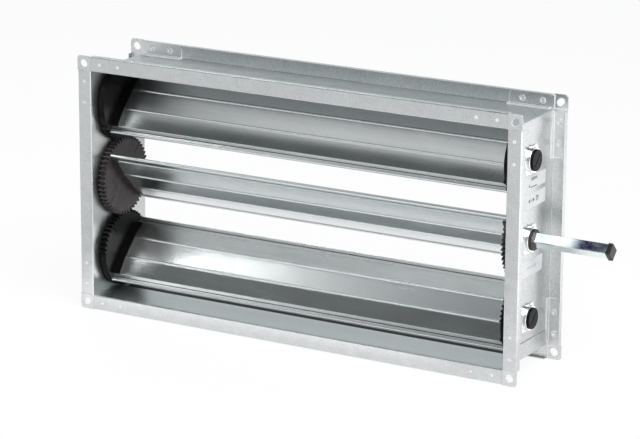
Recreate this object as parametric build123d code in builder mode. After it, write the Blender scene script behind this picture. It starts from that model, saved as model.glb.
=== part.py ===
"""Three-blade shutoff damper for a rectangular duct, in millimetres.

+Z is up, +Y runs along the air path from the front flange to the back one, and +X points
to the side that the drive shaft leaves. The origin is the centre of the duct opening, in
the plane of the front flange's face. The blades stand half open, and neighbouring blades
turn opposite ways through the gears on their ends.
"""

from build123d import *
from math import acos, cos, degrees, pi, radians, sin, tan
import os

os.makedirs("parts", exist_ok=True)

# Duct and casing sheets
duct_width = 600.0
casing_depth = 125.0
blade_pitch = 100.0
blade_levels = {"top": 1, "middle": 0, "bottom": -1}
sheet = 1.0
flange_width = 19.5
return_lip = 8.5
fold_radius = 1.8
tab_length = 20.0
tab_setback = 2.0
dimple_radius = 2.6
dimple_depth = 0.5
dimple_taper = 60.0
spot_from_end = 28.0
spot_from_axis = 38.0

# Corner pieces
corner_sheet = 1.2
ear_overhang = 0.5
ear_radius = 5.0
ear_gap = 0.3
ear_step = 1.5
leg_length = 60.0
leg_end_radius = 6.0
corner_lip = 7.5
corner_lip_setback = 3.0
slot_width = 8.5
slot_length = 11.0
button_radius = 4.0
button_height = 0.8
button_taper = 25.0
button_pit_radius = 1.6
button_near = 14.0
button_far = 42.0

# Bearings on the side walls
journal_radius = 13.5
running_clearance = 0.05
seat_clearance = 0.05
spigot_wall = 1.6
bearing_stand_in = 1.0
plate_side = 34.0
plate_corner = 6.0
plate_thickness = 1.5
collar_wall = 2.5
collar_length = 6.5
collar_edge = 0.8
key_width = 5.0
key_height = 1.6
key_length = 3.0

# Blades
tip_gap = 0.3
lip_end_gap = 0.3
blade_open = 45.0
band_half_thickness = 7.2
strip_bulge = 0.8
ridge_at = 15.0
ridge_radius = 1.4
ridge_sink = 0.4
lip_width = 10.0
core_edge_half_thickness = 3.8
lip_half_thickness = 2.2
lip_tip_radius = 1.5
lip_groove_at = 4.4
lip_groove_width = 1.0
lip_groove_depth = 0.8
blade_wall = 1.3

# Gears, with the shoe and plug that hold the blade and the journal that turns in the bearing
half_teeth = 25
pressure_angle = 20.0
tooth_thinning = 0.08
addendum = 1.0
dedendum = 1.25
gear_width = 9.0
gear_to_wall = 2.0
smooth_rim_drop = 1.5
long_sector = 90.0
short_sector = 58.0
shoe_width = 9.0
plug_length = 30.0
plug_clearance = 0.1
journal_stand_out = 2.8
journal_edge = 0.6
pointer_length = 22.0
pointer_width = 1.2
pointer_depth = 0.8
centre_mark_radius = 1.2
groove_width = 1.2
groove_depth = 0.8
groove_length = 14.0
groove_middle = 40.0
groove_offset = 4.0

# Drive shaft
shaft_side = 14.0
shaft_edge = 0.8
shaft_clearance = 0.05
socket_floor = 1.0
shaft_stand_out = 112.5
cap_wall = 0.8
cap_cover = 4.5
cap_end = 1.5
cap_edge = 0.7
cap_clearance = 0.02
spoke_count = 12
spoke_recess_width = 1.6
spoke_recess_length = 1.8
spoke_recess_depth = 2.5
spoke_rim = 1.0

# Stickers beside the drive shaft: centre from its axis and size, along the depth and up
label_thickness = 0.2
labels = {
    "label_upper": {"centre": (5.5, 71.0), "size": (74.0, 17.0)},
    "label_middle": {"centre": (5.5, 47.6), "size": (74.0, 18.0)},
    "label_lower": {"centre": (1.5, -37.4), "size": (74.0, 20.0)},
}

# Worked out from the sizes above
half_width = duct_width / 2
half_height = len(blade_levels) * blade_pitch / 2
axis_y = casing_depth / 2
wall_outer_x = half_width + sheet
tab_reach = axis_y - return_lip - tab_setback
flange_middle = flange_width / 2
ear_size = flange_width + ear_overhang
leg_face = sheet + corner_sheet
inside_radius = fold_radius - sheet
leg_outer = flange_width - sheet - inside_radius
blade_half = blade_pitch / 2 - tip_gap
core_half = blade_half - lip_width
gear_teeth = 2 * half_teeth
tooth_angle = 360 / gear_teeth
module = blade_pitch / gear_teeth
pitch_radius = blade_pitch / 2
base_radius = pitch_radius * cos(radians(pressure_angle))
tip_radius = pitch_radius + addendum * module
root_radius = pitch_radius - dedendum * module
smooth_radius = pitch_radius - smooth_rim_drop
gear_outer_x = half_width - gear_to_wall
gear_inner_x = gear_outer_x - gear_width
core_end_x = gear_inner_x - shoe_width
lip_end_x = gear_inner_x - lip_end_gap
bore_radius = journal_radius + running_clearance
spigot_radius = bore_radius + spigot_wall
collar_radius = bore_radius + collar_wall
collar_end_x = wall_outer_x + collar_length
journal_end_x = collar_end_x + journal_stand_out
shaft_inner_x = gear_inner_x + socket_floor
shaft_outer_x = half_width + shaft_stand_out
socket_side = shaft_side + 2 * shaft_clearance
flange_faces = (Plane.XZ, Plane((0, casing_depth, 0), x_dir=(-1, 0, 0), z_dir=(0, 1, 0)))


def save(piece, name):
    piece.part.label = name
    export_step(piece.part, f"parts/{name}.step")


def slab(x_range, y_range, z_range, mode=Mode.ADD):
    """A block between two opposite corners, whichever way round they are given."""
    ranges = (x_range, y_range, z_range)
    middle = [(low + high) / 2 for low, high in ranges]
    with Locations(Vector(*middle)):
        Box(*[abs(high - low) for low, high in ranges], mode=mode)


def depth_plane(outwards, origin=(0, 0, 0), inwards=1):
    """A plane whose x runs into the casing's depth and whose y runs outwards from the duct."""
    along = Vector(0, inwards, 0)
    return Plane(origin, x_dir=along, z_dir=along.cross(Vector(*outwards)))


def folded_sheet(plane, path, radius, thickness, side):
    """Section of a sheet bent along a path, with its thickness on one side of the path."""
    with BuildSketch(plane) as section:
        with BuildLine():
            FilletPolyline(*path, radius=radius)
            offset(amount=thickness, side=side)
        make_face()
    return section.sketch


def channel_section(outwards, inner):
    """Section of a casing panel: web on the duct's side, two flanges and their return lips."""
    outer = inner + flange_width
    path = [
        (return_lip, outer),
        (0, outer),
        (0, inner),
        (casing_depth, inner),
        (casing_depth, outer),
        (casing_depth - return_lip, outer),
    ]
    return folded_sheet(depth_plane(outwards), path, fold_radius, sheet, Side.LEFT)


def tab_section(side, level):
    """Section of the end of a top or bottom panel, folded over the outside of a side wall."""
    tab_x = wall_outer_x + sheet
    tab_z = half_height + sheet
    path = [
        (side * (half_width - tab_length), level * tab_z),
        (side * tab_x, level * tab_z),
        (side * tab_x, level * (half_height - tab_length)),
    ]
    inwards = Side.RIGHT if side * level > 0 else Side.LEFT
    return folded_sheet(Plane.XZ.offset(-axis_y), path, fold_radius, sheet, inwards)


def clinch_places(half_length):
    """Clinch points along one flange strip, measured from the duct's inner corners."""
    distances = (button_near, button_far)
    return [side * (half_length - distance) for side in (-1, 1) for distance in distances]


def dimple(face, places):
    """Shallow tapered pits in a sheet, at places on a plane that faces out of it."""
    with BuildSketch(face) as rims:
        with Locations(*places):
            Circle(dimple_radius)
    extrude(rims.sketch, amount=-dimple_depth, taper=dimple_taper, mode=Mode.SUBTRACT)


def level_panel(name, level):
    """Top or bottom panel, with its ends folded over the side walls."""
    with BuildPart() as panel:
        extrude(channel_section((0, 0, level), half_height), amount=half_width, both=True)
        for side in (-1, 1):
            extrude(tab_section(side, level), amount=tab_reach, both=True)
        strip_z = level * (half_height + flange_middle)
        for face in flange_faces:
            dimple(face, [(x * face.x_dir.X, strip_z) for x in clinch_places(half_width)])
        spot_x = half_width - spot_from_end
        web_origin = (0, axis_y, level * (half_height + sheet))
        web_face = Plane(web_origin, x_dir=(1, 0, 0), z_dir=(0, 0, level))
        with BuildSketch(web_face) as rims:
            with GridLocations(2 * spot_x, 2 * spot_from_axis, 2, 2):
                Circle(dimple_radius)
        extrude(rims.sketch, amount=-dimple_depth, taper=dimple_taper, mode=Mode.SUBTRACT)
    save(panel, name)


def side_panel(name, side):
    """Left or right panel, holed for the bearings, its ends bevelled to fit inside the tabs."""
    with BuildPart() as panel:
        extrude(channel_section((side, 0, 0), half_width), amount=half_height, both=True)
        strip_x = side * (half_width + flange_middle)
        for face in flange_faces:
            dimple(face, [(strip_x * face.x_dir.X, z) for z in clinch_places(half_height)])
        for level in blade_levels.values():
            with BuildSketch(outward_plane(side, level, half_width)):
                Circle(spigot_radius + seat_clearance)
            extrude(amount=sheet, mode=Mode.SUBTRACT)
        for turn in (-1, 1):
            corner = (side * wall_outer_x, turn * half_height)
            with BuildSketch(Plane.XZ.offset(-axis_y)) as bevel:
                with BuildLine():
                    Polyline(
                        corner,
                        (corner[0] - side * inside_radius, corner[1]),
                        (corner[0], corner[1] - turn * inside_radius),
                        close=True,
                    )
                make_face()
            extrude(bevel.sketch, amount=tab_reach, both=True, mode=Mode.SUBTRACT)
    save(panel, name)


def leg_section(outwards, along, inner, start, face_y, inwards):
    """Section of a corner piece's leg: plate behind the flange, lip along the wall."""
    path = [(sheet + corner_lip, inner + sheet), (sheet, inner + sheet), (sheet, inner + leg_outer)]
    plane = depth_plane(outwards, Vector(0, face_y, 0) + along * start, inwards)
    return folded_sheet(plane, path, corner_sheet, corner_sheet, Side.RIGHT)


def corner_piece(name, side, level, end):
    """Corner piece of a flange: slotted ear in the flange's plane, legs behind its strips."""
    across, up = Vector(side, 0, 0), Vector(0, 0, level)
    face_y = casing_depth if end > 0 else 0
    inwards = -end
    back_y = face_y + inwards * (sheet + corner_sheet)
    leg_run = leg_length + ear_gap + ear_step
    directions = ((across, up, half_width, half_height), (up, across, half_height, half_width))
    with BuildPart() as corner:
        for along, outwards, half_along, half_across in directions:
            start = half_along - leg_length
            section = leg_section(outwards, along, half_across, start, face_y, inwards)
            extrude(section, amount=leg_run, dir=along)
            free_end = along * start + outwards * (half_across + leg_outer)
            edges = corner.edges().filter_by(Axis.Y)
            fillet(edges.sort_by_distance(free_end + Vector(0, back_y, 0))[0], leg_end_radius)
        step_x = (side * (half_width + ear_gap), side * (half_width + ear_gap + ear_step))
        step_z = (level * (half_height + ear_gap), level * (half_height + ear_gap + ear_step))
        slab(step_x, (face_y, back_y), (step_z[0], level * (half_height + leg_outer)))
        slab((step_x[0], side * (half_width + leg_outer)), (face_y, back_y), step_z)
        lip_x = (side * (half_width - corner_lip_setback), step_x[1])
        lip_z = (level * (half_height - corner_lip_setback), step_z[1])
        lip_y = (back_y, back_y + inwards * corner_lip)
        wall_x = (side * wall_outer_x, side * (wall_outer_x + corner_sheet))
        wall_z = (level * (half_height + sheet), level * (half_height + leg_face))
        slab(lip_x, lip_y, wall_z, mode=Mode.SUBTRACT)
        slab(wall_x, lip_y, lip_z, mode=Mode.SUBTRACT)
        middle = (side * (half_width + ear_size / 2), level * (half_height + ear_size / 2))
        with BuildSketch(Plane.XZ.offset(-face_y)) as ear:
            with Locations((middle[0] + side * ear_gap / 2, middle[1] + level * ear_gap / 2)):
                Rectangle(ear_size - ear_gap, ear_size - ear_gap)
            tip = ear.vertices().sort_by(lambda point: side * point.X + level * point.Y)[-1]
            fillet(tip, ear_radius)
        extrude(ear.sketch, amount=corner_sheet, dir=(0, inwards, 0))
        with BuildSketch(Plane.XZ.offset(-face_y)) as slot:
            with Locations(middle):
                SlotOverall(slot_length, slot_width, rotation=45 * side * level)
        extrude(slot.sketch, amount=corner_sheet, dir=(0, inwards, 0), mode=Mode.SUBTRACT)
        for distance in (button_near, button_far):
            along_x = side * (half_width - distance), level * (half_height + flange_middle)
            along_z = side * (half_width + flange_middle), level * (half_height - distance)
            with BuildSketch(Plane.XZ.offset(-back_y)) as buttons:
                with Locations(along_x, along_z):
                    Circle(button_radius)
                    Circle(button_pit_radius, mode=Mode.SUBTRACT)
            extrude(buttons.sketch, amount=button_height, dir=(0, inwards, 0), taper=button_taper)
    save(corner, name)


def outward_plane(side, level, distance):
    """A plane on a bearing's axis, facing out of a side wall, with its y axis up."""
    origin = (side * distance, axis_y, level * blade_pitch)
    return Plane(origin, x_dir=(0, side, 0), z_dir=(side, 0, 0))


def bearing(name, side, level):
    """Bearing of a blade's journal: plate and collar outside the wall, spigot through it."""
    with BuildPart() as bush:
        with BuildSketch(outward_plane(side, level, wall_outer_x)):
            RectangleRounded(plate_side, plate_side, plate_corner)
        extrude(amount=plate_thickness)
        with BuildSketch(outward_plane(side, level, wall_outer_x)):
            Circle(collar_radius)
        extrude(amount=collar_length)
        with BuildSketch(outward_plane(side, level, wall_outer_x + plate_thickness)):
            with Locations((0, collar_radius)):
                RectangleRounded(key_width, 2 * key_height, key_height / 2)
        extrude(amount=key_length)
        with BuildSketch(outward_plane(side, level, half_width - bearing_stand_in)):
            Circle(spigot_radius)
        extrude(amount=sheet + bearing_stand_in)
        rim = bush.edges().filter_by(GeomType.CIRCLE).sort_by(Axis.X)[-1 if side > 0 else 0]
        fillet(rim, collar_edge)
        with BuildSketch(outward_plane(side, level, half_width - bearing_stand_in)):
            Circle(bore_radius)
        extrude(amount=sheet + bearing_stand_in + collar_length, mode=Mode.SUBTRACT)
    save(bush, name)


def chord_angle(level):
    """Direction of a blade's chord at rest, in degrees from +Y towards +Z."""
    return 90 + blade_open * (-1) ** level


def cross_plane(x, level, angle=0):
    """A plane across a blade's axis, with its x axis at an angle from +Y towards +Z."""
    direction = (0, cos(radians(angle)), sin(radians(angle)))
    return Plane((x, axis_y, level * blade_pitch), x_dir=direction, z_dir=(1, 0, 0))


def x_span(side, near, far):
    """Start and length of a stretch along X between two distances from the middle."""
    return min(side * near, side * far), far - near


def core_outline(plane, inset):
    """Lens-like section of a blade's hollow core, moved inwards from its outer face."""
    edge = (core_half, core_edge_half_thickness)
    shoulder = (ridge_at, band_half_thickness)
    with BuildSketch(plane) as outline:
        with BuildLine():
            for turn in (1, -1):
                start = (turn * -edge[0], turn * edge[1])
                rise = (turn * -shoulder[0], turn * shoulder[1])
                fall = (turn * shoulder[0], turn * shoulder[1])
                finish = (turn * edge[0], turn * edge[1])
                SagittaArc(start, rise, strip_bulge)
                Line(rise, fall)
                SagittaArc(fall, finish, strip_bulge)
                Line(finish, (turn * edge[0], turn * -edge[1]))
        make_face()
        if inset:
            offset(amount=-inset, mode=Mode.REPLACE)
    return outline.sketch


def blade(name, level):
    """Hollow blade: ridged core between its shoes, grooved edge lips from gear to gear."""
    angle = chord_angle(level)
    core_plane = cross_plane(-core_end_x, level, angle)
    with BuildPart() as profile:
        extrude(core_outline(core_plane, 0), amount=2 * core_end_x)
        with BuildSketch(core_plane) as ridges:
            ridge_height = band_half_thickness - ridge_sink
            places = [(t * ridge_at, s * ridge_height) for t in (-1, 1) for s in (-1, 1)]
            with Locations(*places):
                Circle(ridge_radius)
        extrude(ridges.sketch, amount=2 * core_end_x)
        extrude(
            core_outline(core_plane, blade_wall), amount=2 * core_end_x, mode=Mode.SUBTRACT
        )
        with BuildSketch(cross_plane(-lip_end_x, level, angle)) as lips:
            with Locations((core_half + lip_width / 2, 0), (-core_half - lip_width / 2, 0)):
                Rectangle(lip_width, 2 * lip_half_thickness)
            fillet(lips.vertices().group_by(Axis.X)[0], lip_tip_radius)
            fillet(lips.vertices().group_by(Axis.X)[-1], lip_tip_radius)
            groove_t = core_half + lip_groove_at
            places = [
                (t * groove_t, s * lip_half_thickness) for t in (-1, 1) for s in (-1, 1)
            ]
            with Locations(*places):
                Rectangle(lip_groove_width, 2 * lip_groove_depth, mode=Mode.SUBTRACT)
        extrude(lips.sketch, amount=2 * lip_end_x)
    save(profile, name)


def involute(angle):
    return tan(angle) - angle


def tooth_half_angle(radius):
    """Half a tooth's width at a radius, in degrees, between thinned involute flanks."""
    at_pitch = involute(radians(pressure_angle))
    at_radius = involute(acos(base_radius / radius))
    thinning = tooth_thinning / pitch_radius
    return degrees(pi / (2 * gear_teeth) + at_pitch - at_radius - thinning)


def polar(radius, angle):
    return (radius * cos(radians(angle)), radius * sin(radians(angle)))


def tooth_angles(level):
    """Tooth centres: all round on the middle gear, a sector on the gears that it turns."""
    mesh_angle = -90 * level
    if level == 0:
        return [90 + index * tooth_angle for index in range(gear_teeth)]
    first = -int(short_sector / tooth_angle)
    last = int(long_sector / tooth_angle)
    return [mesh_angle + (index + 0.5) * tooth_angle for index in range(first, last)]


def gear_outline(plane, level):
    """Outline of a gear, with a smooth rim where it has no teeth."""
    centres = tooth_angles(level)
    flank = [(radius, tooth_half_angle(radius)) for radius in (root_radius, pitch_radius, tip_radius)]
    points = []
    for centre in centres:
        points += [polar(radius, centre - half) for radius, half in flank]
        points += [polar(radius, centre + half) for radius, half in reversed(flank)]
    with BuildSketch(plane) as outline:
        with BuildLine():
            if level == 0:
                Polyline(*points, close=True)
            else:
                before = centres[0] - tooth_angle / 2
                after = centres[-1] + tooth_angle / 2
                opposite = (before + after) / 2 + 180
                rim = [polar(smooth_radius, angle) for angle in (after, opposite, before)]
                Polyline(rim[2], *points, rim[0])
                ThreePointArc(*rim)
        make_face()
    return outline.sketch


def gear(name, side, level, driven):
    """Gear moulding: toothed disc, shoe and plug that hold the blade, journal in the bearing."""
    angle = chord_angle(level)
    with BuildPart() as moulding:
        start, length = x_span(side, gear_inner_x, gear_outer_x)
        extrude(gear_outline(cross_plane(start, level), level), amount=length)
        start, length = x_span(side, core_end_x, gear_inner_x)
        extrude(core_outline(cross_plane(start, level, angle), 0), amount=length)
        start, length = x_span(side, core_end_x - plug_length, core_end_x)
        inset = blade_wall + plug_clearance
        extrude(core_outline(cross_plane(start, level, angle), inset), amount=length)
        with BuildSketch(outward_plane(side, level, gear_outer_x)):
            Circle(journal_radius)
        extrude(amount=journal_end_x - gear_outer_x)
        ends = moulding.edges().filter_by(GeomType.CIRCLE).sort_by(Axis.X)
        chamfer(ends[-1 if side > 0 else 0], journal_edge)
        start, length = x_span(side, gear_inner_x, gear_inner_x + groove_depth)
        with BuildSketch(cross_plane(start, level, angle)) as grooves:
            with Locations((groove_offset, groove_middle), (groove_offset, -groove_middle)):
                Rectangle(groove_width, groove_length)
        extrude(grooves.sketch, amount=length, mode=Mode.SUBTRACT)
        if driven:
            start, length = x_span(side, shaft_inner_x, journal_end_x)
            with BuildSketch(cross_plane(start, level, angle)) as socket:
                Rectangle(socket_side, socket_side)
            extrude(socket.sketch, amount=length, mode=Mode.SUBTRACT)
            start, length = x_span(side, journal_end_x - spoke_recess_depth, journal_end_x)
            ring_radius = journal_radius - spoke_rim - spoke_recess_length / 2
            with BuildSketch(cross_plane(start, level, angle)) as recesses:
                with PolarLocations(ring_radius, spoke_count):
                    Rectangle(spoke_recess_length, spoke_recess_width)
            extrude(recesses.sketch, amount=length, mode=Mode.SUBTRACT)
        else:
            start, length = x_span(side, journal_end_x - pointer_depth, journal_end_x)
            with BuildSketch(cross_plane(start, level, angle)) as pointer:
                Rectangle(pointer_length, pointer_width)
                Circle(centre_mark_radius)
            extrude(pointer.sketch, amount=length, mode=Mode.SUBTRACT)
    save(moulding, name)


def drive_shaft(name, side, level):
    """Square bar seated in the driven gear, for an actuator's clamp."""
    start, length = x_span(side, shaft_inner_x, shaft_outer_x)
    with BuildPart() as bar:
        with BuildSketch(cross_plane(start, level, chord_angle(level))) as square:
            Rectangle(shaft_side, shaft_side)
            chamfer(square.vertices(), shaft_edge)
        extrude(amount=length)
    save(bar, name)


def shaft_cap(name, side, level):
    """Push-on cap over the free end of the drive shaft."""
    angle = chord_angle(level)
    pocket_side = shaft_side + 2 * cap_clearance
    cap_side = pocket_side + 2 * cap_wall
    with BuildPart() as cap:
        start, length = x_span(side, shaft_outer_x - cap_cover, shaft_outer_x + cap_end)
        with BuildSketch(cross_plane(start, level, angle)) as outside:
            Rectangle(cap_side, cap_side)
        extrude(outside.sketch, amount=length)
        end_face = cap.faces().sort_by(Axis.X)[-1 if side > 0 else 0]
        fillet(end_face.edges(), cap_edge)
        start, length = x_span(side, shaft_outer_x - cap_cover, shaft_outer_x)
        with BuildSketch(cross_plane(start, level, angle)) as pocket:
            Rectangle(pocket_side, pocket_side)
        extrude(pocket.sketch, amount=length, mode=Mode.SUBTRACT)
    save(cap, name)


def label(name, side, centre, size):
    """Thin sticker on the outside of a side wall."""
    with BuildPart() as sticker:
        with BuildSketch(outward_plane(side, 0, wall_outer_x)):
            with Locations((side * centre[0], centre[1])):
                Rectangle(*size)
        extrude(amount=label_thickness)
    save(sticker, name)


sides = {"left": -1, "right": 1}
levels = {"top": 1, "bottom": -1}
ends = {"front": -1, "back": 1}
drive_side, drive_level = "right", "middle"

for level_name, level in levels.items():
    level_panel(f"{level_name}_panel", level)
for side_name, side in sides.items():
    side_panel(f"{side_name}_panel", side)
for end_name, end in ends.items():
    for level_name, level in levels.items():
        for side_name, side in sides.items():
            corner_piece(f"corner_{end_name}_{level_name}_{side_name}", side, level, end)
for level_name, level in blade_levels.items():
    blade(f"blade_{level_name}", level)
    for side_name, side in sides.items():
        driven = (side_name, level_name) == (drive_side, drive_level)
        bearing(f"bearing_{level_name}_{side_name}", side, level)
        gear(f"gear_{level_name}_{side_name}", side, level, driven)
drive_shaft("drive_shaft", sides[drive_side], blade_levels[drive_level])
shaft_cap("shaft_cap", sides[drive_side], blade_levels[drive_level])
for label_name, place in labels.items():
    label(label_name, sides[drive_side], place["centre"], place["size"])
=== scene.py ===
import math
from functools import reduce

import bmesh
import bpy
from mathutils import Matrix, Vector
from mathutils.bvhtree import BVHTree


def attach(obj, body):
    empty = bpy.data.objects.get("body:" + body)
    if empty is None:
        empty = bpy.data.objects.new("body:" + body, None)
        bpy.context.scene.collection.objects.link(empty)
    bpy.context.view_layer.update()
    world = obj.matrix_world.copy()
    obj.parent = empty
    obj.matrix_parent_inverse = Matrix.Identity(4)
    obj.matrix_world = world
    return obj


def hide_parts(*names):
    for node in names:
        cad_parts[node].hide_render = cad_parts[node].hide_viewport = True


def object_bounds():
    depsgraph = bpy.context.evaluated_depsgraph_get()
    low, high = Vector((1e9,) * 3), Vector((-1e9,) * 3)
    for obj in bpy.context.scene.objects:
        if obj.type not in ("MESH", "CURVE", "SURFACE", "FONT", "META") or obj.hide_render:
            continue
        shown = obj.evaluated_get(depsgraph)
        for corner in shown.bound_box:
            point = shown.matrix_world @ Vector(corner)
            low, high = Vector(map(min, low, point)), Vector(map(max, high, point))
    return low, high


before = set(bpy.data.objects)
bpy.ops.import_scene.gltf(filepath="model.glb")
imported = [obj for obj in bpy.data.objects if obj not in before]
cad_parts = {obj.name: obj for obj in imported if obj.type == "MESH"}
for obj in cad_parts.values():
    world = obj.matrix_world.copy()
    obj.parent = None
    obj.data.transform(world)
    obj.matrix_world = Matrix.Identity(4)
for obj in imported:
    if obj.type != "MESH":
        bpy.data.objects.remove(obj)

cad_low, cad_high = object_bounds()
MM = 0.001

# Sizes shared with the solids
AXIS_Y = 62.5 * MM
LEVELS = {"top": 1, "middle": 0, "bottom": -1}
SIDES = {"left": -1, "right": 1}
PITCH = 100 * MM
BLADE_OPEN = 45
HALF_WIDTH = 300 * MM
HALF_HEIGHT = 150 * MM
DEPTH = 125 * MM
FLANGE = 20 * MM
FLANGE_MIDDLE = 9.75 * MM
SHEET = 1.0 * MM
FILM = 0.2 * MM
FLOOR_Z = cad_low.z


# Node trees

def put(tree, kind, sockets=(), **settings):
    """A node with its settings, and its sockets either linked or given a value."""
    made = tree.nodes.new(kind)
    for key, value in settings.items():
        setattr(made, key, value)
    for key, value in dict(sockets).items():
        socket = made.inputs[key]
        if isinstance(value, bpy.types.NodeSocket):
            tree.links.new(value, socket)
        else:
            socket.default_value = value
    return made


def math_node(tree, operation, *values):
    return put(tree, "ShaderNodeMath", dict(enumerate(values)), operation=operation).outputs[0]


def chained(tree, operation, *values):
    """One operation carried on from the first value to the last."""
    return reduce(lambda so_far, value: math_node(tree, operation, so_far, value), values)


def spread(tree, value, low, high, start, end):
    """A value between start and end, spread over low to high."""
    ranges = {"Value": value, "From Min": start, "From Max": end, "To Min": low, "To Max": high}
    return put(tree, "ShaderNodeMapRange", ranges).outputs["Result"]


def tones(tree, value, stops):
    ramp = put(tree, "ShaderNodeValToRGB", {"Fac": value})
    elements = ramp.color_ramp.elements
    while len(elements) < len(stops):
        elements.new(1.0)
    for element, (position, shade) in zip(elements, stops):
        element.position = position
        element.color = (*shade, 1.0)
    return ramp.outputs["Color"]


def noise(tree, place, scale, detail, roughness):
    sockets = {"Vector": place, "Scale": scale, "Detail": detail, "Roughness": roughness}
    return put(tree, "ShaderNodeTexNoise", sockets).outputs["Fac"]


def stretched(tree, place, scale):
    return put(tree, "ShaderNodeMapping", {"Vector": place, "Scale": scale}).outputs["Vector"]


def bumped(tree, height, depth, under=None):
    sockets = {"Height": height, "Distance": depth, "Strength": 1.0}
    if under is not None:
        sockets["Normal"] = under
    return put(tree, "ShaderNodeBump", sockets).outputs["Normal"]


def new_finish(name):
    finish = bpy.data.materials.new(name)
    finish.use_nodes = True
    finish.node_tree.nodes.clear()
    tree = finish.node_tree
    place = put(tree, "ShaderNodeTexCoord").outputs["Object"]
    return finish, tree, place


def close_finish(tree, sockets):
    shader = put(tree, "ShaderNodeBsdfPrincipled", sockets)
    put(tree, "ShaderNodeOutputMaterial", {"Surface": shader.outputs["BSDF"]})


def galvanised(name, dark, light, rough, grain, wave):
    """Zinc-coated sheet: faint spangle cells, fine pebbling, slow rolling waves and dull patches."""
    cells_per_metre, ragged = 130.0, 6 * MM
    cell_tone, patch_tone, cell_dull = 0.10, 0.16, 0.05
    finish, tree, place = new_finish(name)
    wander = put(tree, "ShaderNodeTexNoise", {"Vector": place, "Scale": 60.0, "Detail": 2.0})
    shifted = put(tree, "ShaderNodeVectorMath", {0: wander.outputs["Color"], 1: (ragged,) * 3},
                  operation="MULTIPLY").outputs[0]
    spot = put(tree, "ShaderNodeVectorMath", {0: place, 1: shifted}, operation="ADD").outputs[0]
    cells = put(tree, "ShaderNodeTexVoronoi", {"Vector": spot, "Scale": cells_per_metre}).outputs["Color"]
    cell = put(tree, "ShaderNodeSeparateColor", {"Color": cells}).outputs[0]
    fine = noise(tree, place, scale=1500.0, detail=2.0, roughness=0.6)
    specks = noise(tree, place, scale=700.0, detail=3.0, roughness=0.7)
    patches = noise(tree, place, scale=9.0, detail=4.0, roughness=0.6)
    mixed = math_node(tree, "MULTIPLY_ADD", cell, cell_tone, spread(tree, specks, 0.0, 0.62, 0.3, 0.7))
    mixed = math_node(tree, "MULTIPLY_ADD", patches, patch_tone, mixed)
    colour = tones(tree, mixed, [(0.12, dark), (0.72, light)])
    dull = math_node(tree, "MULTIPLY_ADD", cell, cell_dull,
                     spread(tree, patches, rough - 0.03, rough + 0.04, 0.3, 0.7))
    slow = noise(tree, stretched(tree, place, (0.4, 1.0, 1.0)), scale=14.0, detail=2.0, roughness=0.4)
    normal = bumped(tree, slow, wave * MM)
    normal = bumped(tree, specks, grain * MM, under=normal)
    normal = bumped(tree, fine, 0.4 * grain * MM, under=normal)
    close_finish(tree, {"Base Color": colour, "Metallic": 1.0, "Roughness": dull, "Normal": normal})
    return finish


def burnished_and_highlight(name):
    """Pale metal laid bare by a press tool, and also a painted highlight on sharp edges: fine scratches over
    a dull sheen.
    """
    finish, tree, place = new_finish(name)
    scratches = noise(tree, stretched(tree, place, (1.0, 1.0, 0.3)), scale=900.0, detail=3.0, roughness=0.7)
    colour = tones(tree, scratches, [(0.3, (0.82, 0.83, 0.83)), (0.7, (0.95, 0.96, 0.96))])
    dull = spread(tree, scratches, 0.42, 0.55, 0.3, 0.7)
    close_finish(tree, {"Base Color": colour, "Metallic": 0.45, "Roughness": dull,
                        "Normal": bumped(tree, scratches, 0.01 * MM)})
    return finish


def rolled_blade(name, rough, relief):
    """Blade metal: drawn lines along the blade, fine pebbling and slow waves in the reflections."""
    line_tone = 0.35
    wave_depth, line_depth, speck_depth = (relief * depth * MM for depth in (0.07, 0.004, 0.018))
    finish, tree, place = new_finish(name)
    along = stretched(tree, place, (0.002, 1.0, 1.0))
    lines = noise(tree, along, scale=700.0, detail=3.0, roughness=0.6)
    specks = noise(tree, place, scale=900.0, detail=3.0, roughness=0.7)
    patches = noise(tree, stretched(tree, place, (0.35, 1.0, 1.0)), scale=16.0, detail=4.0, roughness=0.6)
    mixed = math_node(tree, "MULTIPLY_ADD", lines, line_tone, spread(tree, specks, 0.0, 0.5, 0.3, 0.7))
    colour = tones(tree, mixed, [(0.2, (0.58, 0.60, 0.605)), (0.8, (0.92, 0.935, 0.935))])
    dull = spread(tree, patches, rough - 0.04, rough + 0.04, 0.3, 0.7)
    slow = noise(tree, stretched(tree, place, (0.25, 1.0, 1.0)), scale=20.0, detail=2.0, roughness=0.4)
    normal = bumped(tree, slow, wave_depth)
    normal = bumped(tree, lines, line_depth, under=normal)
    normal = bumped(tree, specks, speck_depth, under=normal)
    close_finish(tree, {"Base Color": colour, "Metallic": 1.0, "Roughness": dull, "Normal": normal})
    return finish


def moulded(name, dark, light, rough, gloss=0.3):
    """Moulded plastic: faint flow marks, fine sparked texture and dusty patches."""
    flow_tone = 0.5
    finish, tree, place = new_finish(name)
    flow = noise(tree, place, scale=22.0, detail=4.0, roughness=0.6)
    sparked = noise(tree, place, scale=2200.0, detail=2.0, roughness=0.6)
    dust = noise(tree, place, scale=70.0, detail=5.0, roughness=0.7)
    mixed = math_node(tree, "MULTIPLY_ADD", flow, flow_tone, spread(tree, dust, 0.0, 0.5, 0.4, 0.75))
    colour = tones(tree, mixed, [(0.2, dark), (0.9, light)])
    dull = spread(tree, dust, rough - 0.05, rough + 0.08, 0.3, 0.7)
    normal = bumped(tree, flow, 0.03 * MM)
    normal = bumped(tree, sparked, 0.012 * MM, under=normal)
    close_finish(tree, {"Base Color": colour, "Roughness": dull, "Normal": normal,
                        "Specular IOR Level": gloss})
    return finish


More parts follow.
